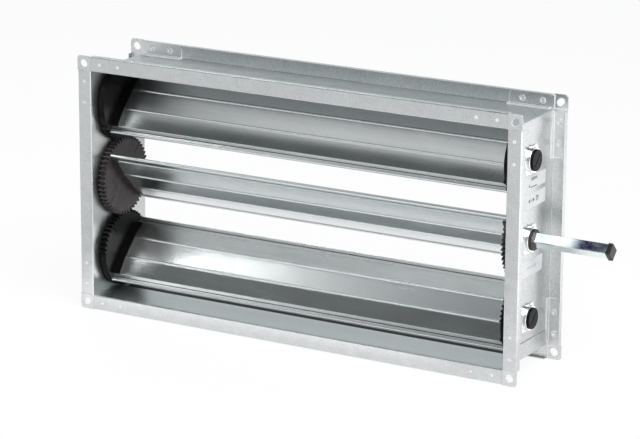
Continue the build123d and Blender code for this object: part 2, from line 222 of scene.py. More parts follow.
def zinc_plated(name, dark, light, tint, rough, stained=False):
    """Bright zinc plating: fine draw lines, a faint bloom, dull spots, and a violet stain on the shaft."""
    stain_from, stain_full, stain_edge = 356 * MM, 374 * MM, 1 * MM
    violets = [(0.35, (0.02, 0.016, 0.05)), (0.65, (0.13, 0.14, 0.26))]
    finish, tree, place = new_finish(name)
    lines = noise(tree, stretched(tree, place, (0.03, 1.0, 1.0)), scale=1200.0, detail=3.0, roughness=0.6)
    bloom = noise(tree, place, scale=38.0, detail=3.0, roughness=0.55)
    spots = noise(tree, place, scale=420.0, detail=4.0, roughness=0.7)
    base = tones(tree, spread(tree, spots, 0.0, 1.0, 0.3, 0.7), [(0.1, dark), (0.9, light)])
    shade = tones(tree, bloom, [(0.35, tint), (0.62, (1.0, 1.0, 1.0))])
    colour = put(tree, "ShaderNodeMix", {0: 1.0, 6: base, 7: shade}, data_type="RGBA",
                 blend_type="MULTIPLY").outputs[2]
    if stained:
        parts = put(tree, "ShaderNodeSeparateXYZ", {0: place}).outputs
        cloud = noise(tree, stretched(tree, place, (0.6, 1.0, 1.0)), scale=70.0, detail=5.0, roughness=0.7)
        reach = spread(tree, parts["X"], 0.0, 1.0, stain_from, stain_full)
        above = spread(tree, parts["Z"], 0.0, 1.0, -stain_edge, stain_edge)
        stain = chained(tree, "MULTIPLY", reach, above, spread(tree, cloud, 0.45, 1.0, 0.36, 0.54))
        violet = tones(tree, noise(tree, place, scale=160.0, detail=4.0, roughness=0.6), violets)
        colour = put(tree, "ShaderNodeMix", {0: stain, 6: colour, 7: violet}, data_type="RGBA").outputs[2]
    dull = spread(tree, spots, rough - 0.04, rough + 0.08, 0.3, 0.7)
    normal = bumped(tree, bloom, 0.05 * MM)
    normal = bumped(tree, lines, 0.004 * MM, under=normal)
    close_finish(tree, {"Base Color": colour, "Metallic": 1.0, "Roughness": dull, "Normal": normal})
    return finish


def sticker_film(name):
    """White sticker film: paper fibre under a satin face, faint yellowing."""
    fibre_tone = 0.3
    finish, tree, place = new_finish(name)
    fibre = noise(tree, stretched(tree, place, (1.0, 0.5, 1.0)), scale=1400.0, detail=3.0, roughness=0.6)
    age = noise(tree, place, scale=30.0, detail=3.0, roughness=0.5)
    mixed = math_node(tree, "MULTIPLY_ADD", fibre, fibre_tone, spread(tree, age, 0.0, 0.6, 0.3, 0.7))
    colour = tones(tree, mixed, [(0.2, (0.83, 0.84, 0.85)), (0.8, (0.9, 0.9, 0.89))])
    dull = spread(tree, fibre, 0.36, 0.48, 0.3, 0.7)
    normal = bumped(tree, fibre, 0.01 * MM)
    close_finish(tree, {"Base Color": colour, "Roughness": dull, "Normal": normal})
    return finish


def print_ink(name, dark, light):
    """Printing ink: slightly uneven cover."""
    finish, tree, place = new_finish(name)
    cover = noise(tree, place, scale=1800.0, detail=3.0, roughness=0.7)
    colour = tones(tree, cover, [(0.3, dark), (0.75, light)])
    close_finish(tree, {"Base Color": colour, "Roughness": spread(tree, cover, 0.35, 0.55, 0.3, 0.7)})
    return finish


casing_finish = galvanised("galvanised_sheet", (0.45, 0.46, 0.462), (0.74, 0.75, 0.752), 0.32, 0.02, 0.03)
# Pale metal for the press marks, and a painted highlight on the corner pieces' edges and beads
burnished_and_highlight_finish = burnished_and_highlight("burnished_zinc_and_painted_highlight")
corner_finish = galvanised("galvanised_corner", (0.48, 0.49, 0.492), (0.78, 0.79, 0.792), 0.28, 0.015, 0.03)
blade_finish = rolled_blade("blade_metal", 0.24, 0.9)
lip_finish = rolled_blade("blade_lip_metal", 0.3, 0.3)
# Dark strips in the lip grooves: painted shade
groove_shade_finish = moulded("groove_painted_shade", (0.012, 0.013, 0.013), (0.05, 0.052, 0.052), 0.6)
# The gear plastic in two copies: the darker one is painted shade for the top and bottom gears, the lighter
# one is painted light for the middle gears
shaded_gear_finish = moulded("gear_plastic", (0.002, 0.0018, 0.002), (0.009, 0.008, 0.0085), 0.34, 0.1)
lit_gear_finish = moulded("gear_plastic_lit", (0.02, 0.0165, 0.0175), (0.085, 0.07, 0.074), 0.4)
cap_finish = moulded("cap_plastic", (0.010, 0.009, 0.0095), (0.034, 0.031, 0.032), 0.38)
bearing_finish = zinc_plated("bearing_metal", (0.78, 0.79, 0.79), (0.97, 0.98, 0.975), (0.95, 0.97, 1.0),
                             0.16)
shaft_finish = zinc_plated("zinc_plated_bar", (0.74, 0.79, 0.79), (0.88, 0.92, 0.92), (0.90, 0.97, 0.98), 0.2,
                           stained=True)
# A dark strip on the panels beneath the blade lips: painted shade
shade_strip_finish = moulded("painted_shade_strip", (0.01, 0.0095, 0.0095), (0.04, 0.038, 0.038), 0.55, 0.15)
film_finish = sticker_film("label_film")
ink_finish = print_ink("label_ink", (0.02, 0.02, 0.025), (0.12, 0.12, 0.14))
stamp_finish = print_ink("stamp_ink", (0.45, 0.42, 0.68), (0.66, 0.65, 0.80))


# Meshes

def in_scene(name, data):
    """A new object of the scene, at the origin."""
    made = bpy.data.objects.new(name, data)
    bpy.context.scene.collection.objects.link(made)
    return made


def new_piece(name, mesh, body, replaced=()):
    """A finished mesh as a piece of the object, riding on its body."""
    piece = in_scene(name, mesh)
    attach(piece, body)
    if replaced:
        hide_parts(*replaced)


def as_plain_mesh(holder, name):
    """The evaluated result of an object's modifiers, as a mesh of its own."""
    bpy.context.view_layer.update()
    shown = holder.evaluated_get(bpy.context.evaluated_depsgraph_get())
    mesh = bpy.data.meshes.new_from_object(shown)
    mesh.name = name
    holder.modifiers.clear()
    bpy.data.objects.remove(holder)
    return mesh


def welded(node):
    """A solid's mesh with its facets joined into whole faces."""
    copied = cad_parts[node].data.copy()
    work = bmesh.new()
    work.from_mesh(copied)
    bmesh.ops.remove_doubles(work, verts=work.verts, dist=0.002 * MM)
    bmesh.ops.dissolve_limit(work, angle_limit=math.radians(0.5), verts=work.verts, edges=work.edges)
    work.to_mesh(copied)
    work.free()
    copied.materials.clear()
    return copied


def dressed(node, finish, body, edge=0.18 * MM, edge_highlight=None):
    """A welded copy of a solid with its edges rounded, and a painted highlight in pale metal on the rounded
    edges where asked, in place of the solid.
    """
    sharp_from, flat_weight = 30, 80
    copied = welded(node)
    copied.materials.append(finish)
    copied.shade_smooth()
    holder = in_scene(node + "_work", copied)
    bevel = holder.modifiers.new("edge", "BEVEL")
    bevel.width = edge
    bevel.segments = 2
    bevel.limit_method = "ANGLE"
    bevel.angle_limit = math.radians(sharp_from)
    if edge_highlight is not None:
        copied.materials.append(edge_highlight)
        bevel.material = 1
    holder.modifiers.new("flat_faces", "WEIGHTED_NORMAL").weight = flat_weight
    new_piece(node + "_finished", as_plain_mesh(holder, node + "_finished"), body, [node])


# Blade profile: half thickness over the chord, in millimetres

LIP_ROOT, LIP_WIDE, LIP_HALF, LIP_TIP = 39.4, 10.3, 2.2, 1.5
GROOVE_AT, GROOVE_HALF, GROOVE_DEEP = 44.1, 0.6, 1.1
GROOVE_FLOOR = LIP_HALF - GROOVE_DEEP


def blade_profile():
    """Outline of the core with its ridges, from one edge to the other and back."""
    core, edge, band, ridge_at = 39.7, 3.1, 7.2, 15.0
    bulge, bead, sunk = 0.15, 1.4, 0.4
    flat_half = 9
    strip_steps, bead_steps = 14, 8
    run, rise = core - ridge_at, band - edge
    length = math.hypot(run, rise)
    bow_radius = (length ** 2 / 4 + bulge ** 2) / (2 * bulge)
    half = math.asin(length / 2 / bow_radius)
    slope = math.atan2(rise, run)
    middle = Vector(((-core - ridge_at) / 2, (edge + band) / 2))
    centre = middle - Vector((-math.sin(slope), math.cos(slope))) * (bow_radius - bulge)
    strip = []
    for index in range(strip_steps + 1):
        turn = math.pi / 2 + slope + half - 2 * half * index / strip_steps
        strip.append(centre + Vector((math.cos(turn), math.sin(turn))) * bow_radius)
    bead_middle = Vector((-ridge_at, band - sunk))
    foot = math.asin(sunk / bead)
    bead_start, bead_end = math.pi - 0.2 * foot, foot
    ridge = []
    for index in range(bead_steps + 1):
        turn = bead_start + (bead_end - bead_start) * index / bead_steps
        ridge.append(bead_middle + Vector((math.cos(turn), math.sin(turn))) * bead)
    left = [p for p in strip if p.x < -ridge_at - bead] + ridge
    right = [Vector((-p.x, p.y)) for p in reversed(left)]
    flat = [Vector((flat_half * share, band)) for share in (-1, -0.5, 0, 0.5, 1)]
    upper = left + flat + right
    lower = [Vector((-p.x, -p.y)) for p in upper]
    return upper + lower


def lip_profile(side):
    """Outline of one edge lip with its two grooves and rounded tip."""
    round_steps = 6
    inner, outer = GROOVE_AT - GROOVE_HALF, GROOVE_AT + GROOVE_HALF
    upper = [(LIP_ROOT, LIP_HALF), (inner, LIP_HALF), (inner, GROOVE_FLOOR), (outer, GROOVE_FLOOR),
             (outer, LIP_HALF)]
    tip_at = LIP_ROOT + LIP_WIDE - LIP_TIP
    for index in range(round_steps + 1):
        turn = math.pi / 2 * (1 - index / round_steps)
        upper.append((tip_at + LIP_TIP * math.cos(turn), LIP_HALF - LIP_TIP + LIP_TIP * math.sin(turn)))
    lower = [(t, -n) for t, n in reversed(upper)]
    outline = [Vector(p) for p in upper + lower]
    if side < 0:
        outline = [Vector((-p.x, p.y)) for p in reversed(outline)]
    return outline


def groove_shade_profiles():
    """Outlines of the dark strips laid in the bottom of the four lip grooves, as painted shade."""
    clear, buried, thick = 0.05, 0.1, 0.15
    inner, outer = GROOVE_AT - GROOVE_HALF + clear, GROOVE_AT + GROOVE_HALF - clear
    low, high = GROOVE_FLOOR - buried, GROOVE_FLOOR + thick
    corners = ((inner, low), (outer, low), (outer, high), (inner, high))
    return [[Vector((side * t, face * n)) for t, n in corners] for side in (1, -1) for face in (1, -1)]


def group_sockets(tree, wanted):
    for name, kind, value in wanted:
        socket = tree.interface.new_socket(name=name, in_out="INPUT", socket_type=kind)
        if value is not None:
            socket.default_value = value
    tree.interface.new_socket(name="Geometry", in_out="OUTPUT", socket_type="NodeSocketGeometry")


def close_tree(tree, geometry, finish):
    """Real geometry with its material, as the last steps of a tree."""
    real = put(tree, "GeometryNodeRealizeInstances", {"Geometry": geometry})
    coated = put(tree, "GeometryNodeSetMaterial", {"Geometry": real.outputs[0], "Material": finish})
    put(tree, "NodeGroupOutput", {"Geometry": coated.outputs[0]})


def give(modifier, values):
    """Sets a modifier's inputs by the names that its node group shows."""
    for item in modifier.node_group.interface.items_tree:
        if item.item_type == "SOCKET" and item.in_out == "INPUT" and item.name in values:
            modifier[item.identifier] = values[item.name]


def drawn_profile_tree():
    """Draws a flat outline out along X to a length, caps it and keeps its corners crisp."""
    tree = bpy.data.node_groups.new("drawn_profile", "GeometryNodeTree")
    group_sockets(tree, [("Outline", "NodeSocketGeometry", None), ("Length", "NodeSocketFloat", 0.5),
                         ("Crisp Angle", "NodeSocketFloat", math.radians(28)),
                         ("Finish", "NodeSocketMaterial", None)])
    given = put(tree, "NodeGroupInput").outputs
    offset = put(tree, "ShaderNodeCombineXYZ", {"X": given["Length"]}).outputs[0]
    drawn = put(tree, "GeometryNodeExtrudeMesh", {"Mesh": given["Outline"], "Offset": offset,
                                                  "Offset Scale": 1.0, "Individual": False}, mode="FACES")
    start = put(tree, "GeometryNodeFlipFaces", {"Mesh": given["Outline"]})
    joined = put(tree, "GeometryNodeJoinGeometry")
    tree.links.new(drawn.outputs["Mesh"], joined.inputs["Geometry"])
    tree.links.new(start.outputs["Mesh"], joined.inputs["Geometry"])
    welded = put(tree, "GeometryNodeMergeByDistance", {"Geometry": joined.outputs[0], "Distance": 1e-6})
    smooth = put(tree, "GeometryNodeSetShadeSmooth", {"Geometry": welded.outputs[0], "Shade Smooth": True},
                 domain="FACE")
    edge_angle = put(tree, "GeometryNodeInputMeshEdgeAngle").outputs["Unsigned Angle"]
    crisp = put(tree, "FunctionNodeCompare", {0: edge_angle, 1: given["Crisp Angle"]},
                data_type="FLOAT", operation="GREATER_THAN")
    cut = put(tree, "GeometryNodeSetShadeSmooth", {"Geometry": smooth.outputs[0], "Shade Smooth": False,
                                                   "Selection": crisp.outputs[0]}, domain="EDGE")
    close_tree(tree, cut.outputs[0], given["Finish"])
    return tree


def outline_mesh(name, outlines, start_x, level):
    """Flat faces across the blade's axis, looking along +X. Blades next to each other lean opposite ways."""
    chord = math.radians(90 + BLADE_OPEN * (-1) ** level)
    direction = Vector((0, math.cos(chord), math.sin(chord)))
    across = Vector((0, -math.sin(chord), math.cos(chord)))
    centre = Vector((start_x, AXIS_Y, level * PITCH))
    work = bmesh.new()
    for outline in outlines:
        ring = [work.verts.new(centre + (direction * p.x + across * p.y) * MM) for p in outline]
        work.faces.new(ring)
    bmesh.ops.recalc_face_normals(work, faces=work.faces)
    for face in work.faces:
        if face.normal.x < 0:
            face.normal_flip()
    mesh = bpy.data.meshes.new(name)
    work.to_mesh(mesh)
    work.free()
    return mesh


def shaped(name, mesh, tree, values):
    """What a tree makes of a mesh with the given inputs, as a mesh of its own."""
    holder = in_scene(name + "_work", mesh)
    modifier = holder.modifiers.new("shape", "NODES")
    modifier.node_group = tree
    give(modifier, values)
    return as_plain_mesh(holder, name)


def drawn(name, outlines, half_length, level, finish):
    """Outlines of a blade drawn out along its axis, to both sides of the middle."""
    mesh = outline_mesh(name + "_outline", outlines, -half_length, level)
    return shaped(name, mesh, profile_tree, {"Length": 2 * half_length, "Finish": finish})


def joined_mesh(name, meshes):
    """Several meshes as one, where each keeps the one material that it has."""
    work = bmesh.new()
    made = bpy.data.meshes.new(name)
    for index, mesh in enumerate(meshes):
        count = len(work.faces)
        work.from_mesh(mesh)
        work.faces.ensure_lookup_table()
        for face in work.faces[count:]:
            face.material_index = index
        for finish in filter(None, mesh.materials):
            made.materials.append(finish)
    work.to_mesh(made)
    work.free()
    return made


CORE_HALF_LENGTH, LIP_HALF_LENGTH, GROOVE_SHADE_HALF_LENGTH = 280 * MM, 288.7 * MM, 288.6 * MM
profile_tree = drawn_profile_tree()
for level_name, level in LEVELS.items():
    core = drawn("core", [blade_profile()], CORE_HALF_LENGTH, level, blade_finish)
    lips = drawn("lips", [lip_profile(side) for side in (1, -1)], LIP_HALF_LENGTH, level, lip_finish)
    # Dark strips of painted shade in the lip grooves
    groove_shade = drawn("groove_shade", groove_shade_profiles(), GROOVE_SHADE_HALF_LENGTH, level, groove_shade_finish)
    new_piece(f"blade_{level_name}_drawn", joined_mesh("blade_" + level_name, [core, lips, groove_shade]),
              level_name + "_blade", ["blade_" + level_name])

CORNER_EDGE, GEAR_EDGE = 0.5 * MM, 0.15 * MM
for node in ("top_panel", "bottom_panel", "left_panel", "right_panel"):
    dressed(node, casing_finish, "casing")
for end in ("front", "back"):
    for level in ("top", "bottom"):
        for side in SIDES:
            # Corner pieces: pale metal on the rounded edges as a painted highlight
            dressed(f"corner_{end}_{level}_{side}", corner_finish, "casing", CORNER_EDGE,
                    edge_highlight=burnished_and_highlight_finish)
for level in LEVELS:
    # Middle gears take the lighter copy and the others the darker one: painted light and shade
    plastic = lit_gear_finish if level == "middle" else shaded_gear_finish
    for side in SIDES:
        dressed(f"bearing_{level}_{side}", bearing_finish, "casing")
        dressed(f"gear_{level}_{side}", plastic, f"{level}_blade", GEAR_EDGE)
dressed("drive_shaft", shaft_finish, "middle_blade")
dressed("shaft_cap", cap_finish, "middle_blade")
for name in ("upper", "middle", "lower"):
    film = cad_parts["label_" + name].data
    film.materials.clear()
    film.materials.append(film_finish)


# Burred edges of the corner pieces, painted pale as a highlight

BEAD_CLEAR, FACE_CLEAR = 0.8 * MM, 0.5 * MM


def edge_beads_tree():
    """A thin round bead along every sharp edge that lies clear of the outer box."""
    tree = bpy.data.node_groups.new("edge_beads", "GeometryNodeTree")
    group_sockets(tree, [("Sheet", "NodeSocketGeometry", None),
                         ("Sharp Angle", "NodeSocketFloat", math.radians(60)),
                         ("Bead Radius", "NodeSocketFloat", 0.4 * MM),
                         ("Reach X", "NodeSocketFloat", HALF_WIDTH + FLANGE - BEAD_CLEAR),
                         ("Reach Z", "NodeSocketFloat", HALF_HEIGHT + FLANGE - BEAD_CLEAR),
                         ("Near Y", "NodeSocketFloat", FACE_CLEAR),
                         ("Far Y", "NodeSocketFloat", DEPTH - FACE_CLEAR),
                         ("Finish", "NodeSocketMaterial", None)])
    given = put(tree, "NodeGroupInput").outputs
    turned = put(tree, "GeometryNodeInputMeshEdgeAngle").outputs["Unsigned Angle"]
    place = put(tree, "ShaderNodeSeparateXYZ", {0: put(tree, "GeometryNodeInputPosition").outputs[0]}).outputs
    wanted = chained(
        tree, "MULTIPLY", math_node(tree, "GREATER_THAN", turned, given["Sharp Angle"]),
        math_node(tree, "LESS_THAN", math_node(tree, "ABSOLUTE", place["X"]), given["Reach X"]),
        math_node(tree, "LESS_THAN", math_node(tree, "ABSOLUTE", place["Z"]), given["Reach Z"]),
        math_node(tree, "GREATER_THAN", place["Y"], given["Near Y"]),
        math_node(tree, "LESS_THAN", place["Y"], given["Far Y"]))
    path = put(tree, "GeometryNodeMeshToCurve", {"Mesh": given["Sheet"], "Selection": wanted})
    bead = put(tree, "GeometryNodeCurvePrimitiveCircle", {"Resolution": 8, "Radius": given["Bead Radius"]})
    swept = put(tree, "GeometryNodeCurveToMesh", {
        "Curve": path.outputs[0], "Profile Curve": bead.outputs["Curve"], "Fill Caps": True})
    close_tree(tree, swept.outputs["Mesh"], given["Finish"])
    return tree


beads_tree = edge_beads_tree()
for end in ("front", "back"):
    sheets = [welded(f"corner_{end}_{level}_{side}") for level in ("top", "bottom") for side in SIDES]
    name = f"corner_beads_{end}"
    # The beads take the pale metal: a painted highlight along the edges
    mesh = shaped(name, joined_mesh("corners", sheets), beads_tree, {"Finish": burnished_and_highlight_finish})
    new_piece(name, mesh, "casing")


# Clinched joints between corner pieces and flange strips

RING_RADIUS, RING_SUNK = 2.9 * MM, 0.25 * MM
HUB_DEPTH, STAR_PROUD = 0.77 * MM, 0.03 * MM
CLINCHES_INWARD = (14 * MM, 42 * MM)


def points_mesh(name, places):
    mesh = bpy.data.meshes.new(name)
    mesh.from_pydata([tuple(place) for place in places], [], [])
    return mesh


def clinch_rings_tree():
    """A rounded ring lying across the depth at every given point."""
    tree = bpy.data.node_groups.new("clinch_rings", "GeometryNodeTree")
    group_sockets(tree, [("Places", "NodeSocketGeometry", None),
                         ("Ring Radius", "NodeSocketFloat", RING_RADIUS),
                         ("Bead Radius", "NodeSocketFloat", 0.6 * MM),
                         ("Finish", "NodeSocketMaterial", None)])
    given = put(tree, "NodeGroupInput").outputs
    ring = put(tree, "GeometryNodeCurvePrimitiveCircle", {"Resolution": 28, "Radius": given["Ring Radius"]})
    bead = put(tree, "GeometryNodeCurvePrimitiveCircle", {"Resolution": 10, "Radius": given["Bead Radius"]})
    swept = put(tree, "GeometryNodeCurveToMesh", {"Curve": ring.outputs["Curve"],
                                                  "Profile Curve": bead.outputs["Curve"]})
    upright = put(tree, "GeometryNodeTransform", {"Geometry": swept.outputs["Mesh"],
                                                  "Rotation": (math.radians(90), 0, 0)})
    placed = put(tree, "GeometryNodeInstanceOnPoints", {"Points": given["Places"],
                                                        "Instance": upright.outputs[0]})
    close_tree(tree, placed.outputs[0], given["Finish"])
    return tree


def clinch_stars_tree():
    """Short ribs crossing like a star over a round hub, across the depth, at every given point."""
    tree = bpy.data.node_groups.new("clinch_stars", "GeometryNodeTree")
    group_sockets(tree, [("Places", "NodeSocketGeometry", None), ("Rays", "NodeSocketInt", 3),
                         ("Rib Size", "NodeSocketVector", (5.4 * MM, 0.7 * MM, 0.75 * MM)),
                         ("Hub Radius", "NodeSocketFloat", 0.9 * MM),
                         ("Hub Depth", "NodeSocketFloat", HUB_DEPTH), ("Finish", "NodeSocketMaterial", None)])
    given = put(tree, "NodeGroupInput").outputs
    rib = put(tree, "GeometryNodeMeshCube", {"Size": given["Rib Size"]})
    centres = put(tree, "GeometryNodeMeshLine", {"Count": given["Rays"], "Offset": (0, 0, 0)}, mode="OFFSET")
    index = put(tree, "GeometryNodeInputIndex").outputs[0]
    share = math_node(tree, "DIVIDE", math.pi, given["Rays"])
    turn = put(tree, "ShaderNodeCombineXYZ", {"Y": math_node(tree, "MULTIPLY", index, share)}).outputs[0]
    star = put(tree, "GeometryNodeInstanceOnPoints", {"Points": centres.outputs["Mesh"],
                                                      "Instance": rib.outputs["Mesh"], "Rotation": turn})
    hub = put(tree, "GeometryNodeMeshCylinder", {"Vertices": 16, "Radius": given["Hub Radius"],
                                                 "Depth": given["Hub Depth"]})
    upright = put(tree, "GeometryNodeTransform", {"Geometry": hub.outputs["Mesh"],
                                                  "Rotation": (math.radians(90), 0, 0)})
    joined = put(tree, "GeometryNodeJoinGeometry")
    tree.links.new(star.outputs[0], joined.inputs["Geometry"])
    tree.links.new(upright.outputs[0], joined.inputs["Geometry"])
    placed = put(tree, "GeometryNodeInstanceOnPoints", {"Points": given["Places"],
                                                        "Instance": joined.outputs[0]})
    close_tree(tree, placed.outputs[0], given["Finish"])
    return tree


def surface_of(node):
    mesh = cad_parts[node].data
    return BVHTree.FromPolygons([v.co for v in mesh.vertices], [p.vertices for p in mesh.polygons])


def clinch_spots():
    """Centres of the clinched joints over the flange, as (x, z, corner name ending)."""
    for level, up in (("top", 1), ("bottom", -1)):
        for side, out in SIDES.items():
            for inward in CLINCHES_INWARD:
                ending = f"{level}_{side}"
                yield out * (HALF_WIDTH - inward), up * (HALF_HEIGHT + FLANGE_MIDDLE), ending
                yield out * (HALF_WIDTH + FLANGE_MIDDLE), up * (HALF_HEIGHT - inward), ending


def clinches(name, places, tree, finish):
    mesh = shaped(name, points_mesh(name + "_places", places), tree, {"Finish": finish})
    new_piece(name, mesh, "casing")


PROBE_START = 40 * MM
rings_tree, stars_tree = clinch_rings_tree(), clinch_stars_tree()
for end, outer, towards in (("front", 0.0, -1), ("back", DEPTH, 1)):
    rings, stars = [], []
    for x, z, ending in clinch_spots():
        start = Vector((x + RING_RADIUS, DEPTH / 2 + towards * PROBE_START, z))
        spot = surface_of(f"corner_{end}_{ending}").ray_cast(start, Vector((0, towards, 0)))[0]
        rings.append(Vector((x, spot.y + towards * RING_SUNK, z)))
        stars.append(Vector((x, outer - towards * (HUB_DEPTH / 2 - STAR_PROUD), z)))
    clinches(f"clinch_rings_{end}", rings, rings_tree, corner_finish)
    clinches(f"clinch_stars_{end}", stars, stars_tree, burnished_and_highlight_finish)


# Prints on the stickers, and dark strips of painted shade beneath the blade lips

INK = 0.04 * MM
INK_RAISED = 0.01 * MM
# Size and place of the dark strips of painted shade on the panels' inner faces
SHADE_STRIP = (570 * MM, 9 * MM, 0.2 * MM)
SHADE_STRIP_BEFORE_AXIS = 1 * MM


def printed_row_tree():
    """A row of flat strokes of uneven height, one after the other along the depth."""
    tree = bpy.data.node_groups.new("printed_row", "GeometryNodeTree")
    group_sockets(tree, [("First Centre", "NodeSocketVector", None), ("Step", "NodeSocketFloat", 2 * MM),
                         ("Count", "NodeSocketInt", 5), ("Stroke", "NodeSocketVector", None),
                         ("Unevenness", "NodeSocketFloat", 0.4), ("Lean", "NodeSocketFloat", 0.0),
                         ("Seed", "NodeSocketInt", 3), ("Finish", "NodeSocketMaterial", None)])
    given = put(tree, "NodeGroupInput").outputs
    offset = put(tree, "ShaderNodeCombineXYZ", {"Y": given["Step"]}).outputs[0]
    line = put(tree, "GeometryNodeMeshLine", {
        "Count": given["Count"], "Start Location": given["First Centre"], "Offset": offset}, mode="OFFSET")
    stroke = put(tree, "GeometryNodeMeshCube", {"Size": given["Stroke"]})
    shortest = math_node(tree, "SUBTRACT", 1.0, given["Unevenness"])
    height = put(tree, "FunctionNodeRandomValue", {2: shortest, 3: 1.0, "Seed": given["Seed"]},
                 data_type="FLOAT").outputs[1]
    size = put(tree, "ShaderNodeCombineXYZ", {"X": 1.0, "Y": 1.0, "Z": height}).outputs[0]
    lean = put(tree, "ShaderNodeCombineXYZ", {"X": given["Lean"]}).outputs[0]
    placed = put(tree, "GeometryNodeInstanceOnPoints", {
        "Points": line.outputs["Mesh"], "Instance": stroke.outputs["Mesh"], "Rotation": lean, "Scale": size})
    close_tree(tree, placed.outputs[0], given["Finish"])
    return tree


def printed_arrows_tree():
    """Two flat arrowheads that point away from each other along the depth."""
    tree = bpy.data.node_groups.new("printed_arrows", "GeometryNodeTree")
    group_sockets(tree, [("First Centre", "NodeSocketVector", None), ("Step", "NodeSocketFloat", 10 * MM),
                         ("Head Radius", "NodeSocketFloat", 2 * MM), ("Thickness", "NodeSocketFloat", INK),
                         ("Finish", "NodeSocketMaterial", None)])
    given = put(tree, "NodeGroupInput").outputs
    offset = put(tree, "ShaderNodeCombineXYZ", {"Y": given["Step"]}).outputs[0]
    line = put(tree, "GeometryNodeMeshLine", {
        "Count": 2, "Start Location": given["First Centre"], "Offset": offset}, mode="OFFSET")
    head = put(tree, "GeometryNodeMeshCylinder", {"Vertices": 3, "Radius": given["Head Radius"],
                                                  "Depth": given["Thickness"]})
    upright = put(tree, "GeometryNodeTransform", {"Geometry": head.outputs["Mesh"],
                                                  "Rotation": (0, math.radians(90), 0)})
    index = put(tree, "GeometryNodeInputIndex").outputs[0]
    turn = math_node(tree, "MULTIPLY_ADD", index, math.pi, -math.pi / 2)
    turned = put(tree, "ShaderNodeCombineXYZ", {"X": turn}).outputs[0]
    placed = put(tree, "GeometryNodeInstanceOnPoints", {
        "Points": line.outputs["Mesh"], "Instance": upright.outputs[0], "Rotation": turned})
    close_tree(tree, placed.outputs[0], given["Finish"])
    return tree


def grown(name, tree, values):
    """The mesh that a tree makes out of nothing but its inputs."""
    return shaped(name, bpy.data.meshes.new(name + "_seed"), tree, values)


def on_film(depth, height):
    """A place on the face of the stickers, from the depth and height in millimetres."""
    return (HALF_WIDTH + SHEET + FILM + INK_RAISED, depth * MM, height * MM)


row_tree, arrows_tree = printed_row_tree(), printed_arrows_tree()
# First centre, step in millimetres, count, stroke size, unevenness, lean, ink
rows = {
    "print_upper_marks": (on_film(66.5, 74.5), 2.3, 7, (INK, 1.4 * MM, 5.0 * MM), 0.45, -0.2, ink_finish),
    "print_upper_line": (on_film(72.5, 64.5), 1.0, 1, (INK, 17 * MM, 1.2 * MM), 0.0, 0.0, ink_finish),
    "print_upper_dot": (on_film(60.5, 66.5), 1.0, 1, (INK, 2.6 * MM, 2.8 * MM), 0.0, 0.0, ink_finish),
    "print_middle_dots": (on_film(66.2, 47.6), 2.6, 1, (INK, 2.0 * MM, 2.0 * MM), 0.0, 0.0, ink_finish),
    "print_middle_sign": (on_film(80.5, 47.6), 4.4, 2, (INK, 1.6 * MM, 7.0 * MM), 0.2, 0.0, ink_finish),
    "print_middle_bars": (on_film(82.7, 50.2), 1.0, 1, (INK, 6.0 * MM, 1.4 * MM), 0.0, 0.0, ink_finish),
    "print_lower_marks": (on_film(60.0, -37.0), 2.6, 10, (INK, 1.2 * MM, 5.0 * MM), 0.6, -0.5, stamp_finish),
}
for name, (start, step, count, stroke, uneven, lean, ink) in rows.items():
    mesh = grown(name, row_tree, {"First Centre": start, "Step": step * MM, "Count": count, "Stroke": stroke,
                                  "Unevenness": uneven, "Lean": lean, "Seed": len(name), "Finish": ink})
    new_piece(name, mesh, "casing")
mesh = grown("print_middle_arrows", arrows_tree, {
    "First Centre": on_film(61.5, 47.6), "Step": 10.5 * MM, "Head Radius": 3.3 * MM, "Finish": ink_finish})
new_piece("print_middle_arrows", mesh, "casing")

# Dark strips on the inner faces of the top and bottom panels, just before the axis: painted shade beneath the
# blade lips
for level in ("top", "bottom"):
    name = "seal_tape_" + level
    middle = (0, AXIS_Y - SHADE_STRIP_BEFORE_AXIS, LEVELS[level] * (HALF_HEIGHT - SHADE_STRIP[2] / 2))
    mesh = grown(name, row_tree, {"First Centre": middle, "Count": 1, "Stroke": SHADE_STRIP, "Unevenness": 0.0,
                                  "Finish": shade_strip_finish})
    new_piece(name, mesh, "casing")


# Studio

FLOOR_HALF, FLOOR_BELOW = 12.0, 0.2 * MM
# Parts of the floor that the blades mirror, by their reach in X and in Y
LIT_PATCH = ((-0.36, 0.16), (-0.18, -0.07))
SHADED_PATCH = ((-0.48, 0.14), (-0.44, -0.19))
LIT_GLOW = 1.6
# Grey of the air by the angle over the object, in degrees: 0 in front, 90 overhead, 180 behind
ARCH_GREYS = [(0, 0.45), (5, 0.48), (11, 1.08), (20, 1.12), (26, 0.56), (32, 0.10), (45, 0.07), (62, 0.08),
              (67.5, 0.10), (71, 0.18), (74, 0.36), (77, 0.34), (82, 0.16), (95, 0.13), (120, 0.14),
              (140, 0.30), (154, 0.60), (172, 0.58), (180, 0.48)]
AIR_TINT = (0.93, 1.02, 1.04)
SOFTBOXES = {
    "key_softbox": {"place": (1.8, -1.5, 2.9), "target": (0, 0.06, 0), "size": (3.0, 3.0), "watts": 130},
    "strip_softbox": {"place": (-2.03, -0.65, 2.0), "target": (-2.03, -0.65, 0), "size": (1.3, 0.17),
                      "watts": 4.8},
    "tail_softbox": {"place": (-1.18, -0.65, 2.0), "target": (-1.18, -0.65, 0), "size": (0.4, 0.17),
                     "watts": 0.1},
    "rim_softbox": {"place": (-1.21, 1.12, 1.87), "target": (0, 0.06, 0), "size": (0.8, 0.3), "watts": 8},
}


def seen_directly(tree):
    """1 for rays that come straight from the camera, a gloss or a clear surface."""
    path = put(tree, "ShaderNodeLightPath").outputs
    direct = math_node(tree, "MAXIMUM", path["Is Camera Ray"], path["Is Glossy Ray"])
    return math_node(tree, "MAXIMUM", direct, path["Is Transmission Ray"])


